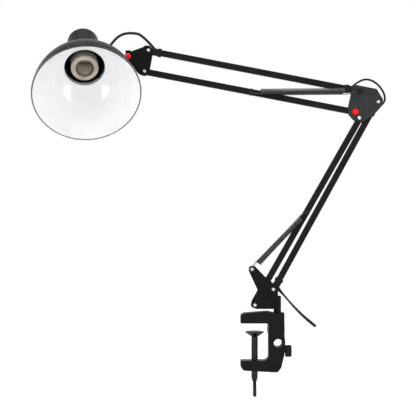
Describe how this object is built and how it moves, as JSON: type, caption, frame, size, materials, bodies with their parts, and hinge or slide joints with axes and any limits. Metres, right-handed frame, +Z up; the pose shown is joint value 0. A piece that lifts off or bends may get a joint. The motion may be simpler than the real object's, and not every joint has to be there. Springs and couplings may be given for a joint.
{
  "type": "desk lamp",
  "caption": "Clamp-on swing-arm desk lamp: two parallel-bar arms with balance springs, a level head bracket, a tilting bowl shade, screw clamp and cord with plug.",
  "frame": {"origin": "the middle of the underside of the clamp's upper jaw, which rests on the top of the desk, 40 mm from the axis of the swivel post", "axes": "+X along the arms, away from the shade; +Y away from the viewer, across the arms; +Z up, away from the desk"},
  "size_m": [0.5663, 0.2348, 0.6054],
  "materials": {
    "clamp_paint": "satin",
    "plate_paint": "satin",
    "bar_paint": "satin",
    "shade_enamel": "gloss",
    "spring_steel": "satin",
    "bright_steel": "satin",
    "knob_black": "satin",
    "black_plastic": "matt",
    "red_plastic": "gloss",
    "porcelain": "satin",
    "brass": "satin",
    "cord_pvc": "satin"
  },
  "bodies": {
    "clamp": {"clamp_frame": "clamp_paint", "cord_hank": "cord_pvc", "cord_tie": "black_plastic", "plug_body": "cord_pvc", "plug_blades": "brass"},
    "lock_knob": {"lock_knob": "knob_black"},
    "clamp_pad": {"clamp_pad": "clamp_paint"},
    "clamp_screw": {"clamp_screw": "clamp_paint", "screw_paddle": "clamp_paint"},
    "bracket": {"swivel_post": "plate_paint", "bracket_plate_front": "plate_paint", "bracket_plate_rear": "plate_paint", "base_rivets": "bright_steel", "base_washers": "black_plastic", "spring_studs": "plate_paint", "lower_springs": "spring_steel", "supply_cord_b": "cord_pvc"},
    "lower_rear_bar": {"lower_rear_tube": "bar_paint", "lower_rear_sleeves": "black_plastic", "lower_lead": "cord_pvc", "supply_cord_a": "cord_pvc", "elbow_cord_b": "cord_pvc"},
    "lower_front_bar": {"lower_front_tube": "bar_paint", "lower_spring_pin": "plate_paint"},
    "elbow": {"elbow_plate_front": "plate_paint", "elbow_plate_rear": "plate_paint", "elbow_fasteners": "bright_steel", "elbow_eyelet": "plate_paint", "elbow_washers": "black_plastic", "black_caps": "black_plastic", "red_caps": "red_plastic", "upper_springs": "spring_steel"},
    "upper_top_bar": {"upper_top_tube": "bar_paint", "upper_top_sleeves": "black_plastic", "upper_lead": "cord_pvc", "elbow_cord_a": "cord_pvc", "head_cord_c": "cord_pvc"},
    "upper_bottom_bar": {"upper_bottom_tube": "bar_paint", "upper_spring_pin": "plate_paint"},
    "head_bracket": {"head_plate_front": "plate_paint", "head_plate_rear": "plate_paint", "head_rivets": "bright_steel", "head_washers": "black_plastic", "tilt_bolt": "bright_steel", "tilt_caps": "red_plastic", "head_cord_b": "cord_pvc"},
    "knuckle": {"knuckle": "plate_paint", "knuckle_nut": "plate_paint"},
    "head": {"shade": "shade_enamel", "collar": "plate_paint", "holder_housing": "shade_enamel", "rear_cap": "shade_enamel", "switch_body": "black_plastic", "ceramic_socket": "porcelain", "socket_contacts": "brass", "socket_bridge": "bright_steel", "cord_gland": "black_plastic", "head_cord_a": "cord_pvc"},
    "push_button": {"push_button": "black_plastic"}
  },
  "joints": [
    {"name": "lock_knob_turn", "type": "hinge", "parent": "clamp", "child": "lock_knob", "pos_m": [0.052, 0, -0.0455], "axis": [1, 0, 0], "range_deg": [-360, 360]},
    {"name": "screw_travel", "type": "slide", "parent": "clamp", "child": "clamp_pad", "axis": [0, 0, 1], "range_m": [-0.038, 0.0133]},
    {"name": "screw_turn", "type": "hinge", "parent": "clamp_pad", "child": "clamp_screw", "pos_m": [0.003, 0, -0.06], "axis": [0, 0, 1], "range_deg": [-6840, 2394]},
    {"name": "base_swivel", "type": "hinge", "parent": "clamp", "child": "bracket", "pos_m": [0.04, 0, 0.02], "axis": [0, 0, 1], "range_deg": [-90, 90], "deforming": ["supply_cord_b"]},
    {"name": "lower_arm_lift", "type": "hinge", "parent": "bracket", "child": "lower_rear_bar", "pos_m": [0.0332, 0, 0.055], "axis": [0, 1, 0], "range_deg": [-45, 1], "deforming": ["lower_springs", "supply_cord_a"]},
    {"name": "lower_arm_link", "type": "hinge", "parent": "bracket", "child": "lower_front_bar", "pos_m": [0.00333, 0, 0.02962], "axis": [0, 1, 0], "range_deg": [-45, 1]},
    {"name": "elbow_level", "type": "hinge", "parent": "lower_rear_bar", "child": "elbow", "pos_m": [0.20298, 0, 0.35878], "axis": [0, 1, 0], "range_deg": [-1, 45], "deforming": ["elbow_cord_b"]},
    {"name": "upper_arm_lift", "type": "hinge", "parent": "elbow", "child": "upper_top_bar", "pos_m": [0.17258, 0, 0.37668], "axis": [0, 1, 0], "range_deg": [-50, 50], "deforming": ["upper_springs", "elbow_cord_a"]},
    {"name": "upper_arm_link", "type": "hinge", "parent": "elbow", "child": "upper_bottom_bar", "pos_m": [0.16615, 0, 0.34268], "axis": [0, 1, 0], "range_deg": [-50, 50]},
    {"name": "head_level", "type": "hinge", "parent": "upper_top_bar", "child": "head_bracket", "pos_m": [-0.16919, 0, 0.44224], "axis": [0, 1, 0], "range_deg": [-50, 50], "deforming": ["head_cord_c"]},
    {"name": "head_tilt", "type": "hinge", "parent": "head_bracket", "child": "knuckle", "pos_m": [-0.20259, 0, 0.43224], "axis": [0, 1, 0], "range_deg": [-40, 45], "deforming": ["head_cord_b"]},
    {"name": "head_roll", "type": "hinge", "parent": "knuckle", "child": "head", "pos_m": [-0.27349, 0.00089, 0.41719], "axis": [0.9781, -0.0123, 0.2076], "range_deg": [-35, 90], "deforming": ["head_cord_a"]},
    {"name": "button_press", "type": "slide", "parent": "head", "child": "push_button", "axis": [0.115, -0.7999, -0.589], "range_m": [0, 0.0025], "stiffness_N_per_m": 600, "springref_m": -0.0015}
  ],
  "couplings": [
    {"joint": "screw_turn", "follows": "screw_travel", "rad_per_m": 3141.6},
    {"joint": "lower_arm_link", "follows": "lower_arm_lift", "ratio": 1},
    {"joint": "elbow_level", "follows": "lower_arm_lift", "ratio": -1},
    {"joint": "upper_arm_link", "follows": "upper_arm_lift", "ratio": 1},
    {"joint": "head_level", "follows": "upper_arm_lift", "ratio": -1}
  ]
}
